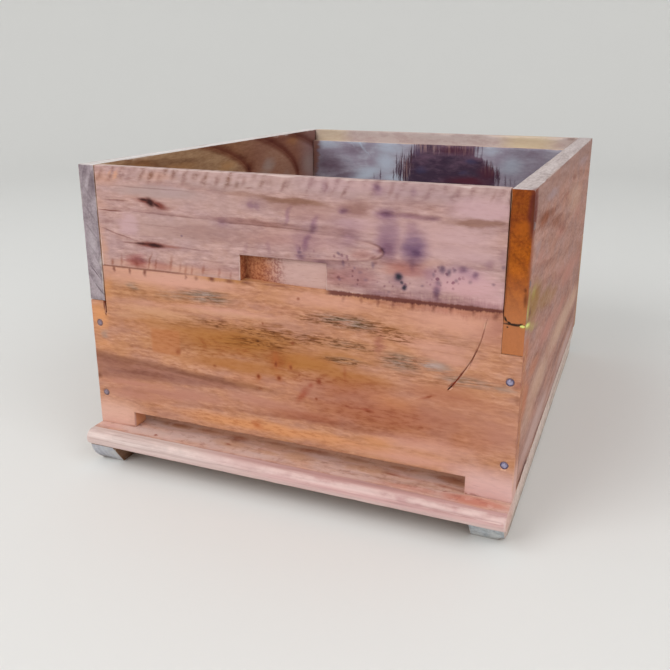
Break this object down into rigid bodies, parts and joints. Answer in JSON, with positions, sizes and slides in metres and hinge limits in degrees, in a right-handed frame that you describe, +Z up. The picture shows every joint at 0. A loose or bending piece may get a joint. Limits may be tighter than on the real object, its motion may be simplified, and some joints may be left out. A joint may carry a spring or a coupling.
{
  "type": "hive box",
  "caption": "Open wooden hive box with finger-jointed, nailed walls and frame rests, standing loose on a floor with a rounded alighting lip, a wide entrance slot and runners.",
  "frame": {"origin": "on the ground under the centre of the whole footprint, lip included", "axes": "+Z up, +Y from the entrance to the back, +X to the right of someone facing the entrance"},
  "size_m": [0.413, 0.533, 0.296],
  "materials": {
    "front_upper_wood": "bare planed wood, pinkish, stained",
    "front_lower_wood": "bare planed wood, orange tan",
    "back_wood": "bare planed wood, greyed and stained",
    "left_wood": "bare planed wood, golden brown",
    "right_wood": "bare planed wood, pinkish grey",
    "lip_wood": "bare planed wood, pale pink",
    "floor_wood": "bare planed wood, tan",
    "runner_wood": "bare sawn wood, weathered grey",
    "nail_steel": "dull bright wire nail"
  },
  "bodies": {
    "floor": {"floor_lip_board": "lip_wood", "floor_second_board": "floor_wood", "floor_third_board": "floor_wood", "floor_rear_board": "floor_wood", "left_runner": "runner_wood", "right_runner": "runner_wood", "left_runner_nails": "nail_steel", "right_runner_nails": "nail_steel"},
    "hive_body": {"front_upper_board": "front_upper_wood", "front_lower_board": "front_lower_wood", "back_upper_board": "back_wood", "back_lower_board": "back_wood", "left_upper_board": "left_wood", "left_lower_board": "left_wood", "right_upper_board": "right_wood", "right_lower_board": "right_wood", "front_nails": "nail_steel", "back_nails": "nail_steel", "left_nails": "nail_steel", "right_nails": "nail_steel"}
  },
  "joints": [
    {"name": "body_lift", "type": "slide", "parent": "floor", "child": "hive_body", "axis": [0, 0, 1], "range_m": [0, 0.3]}
  ]
}
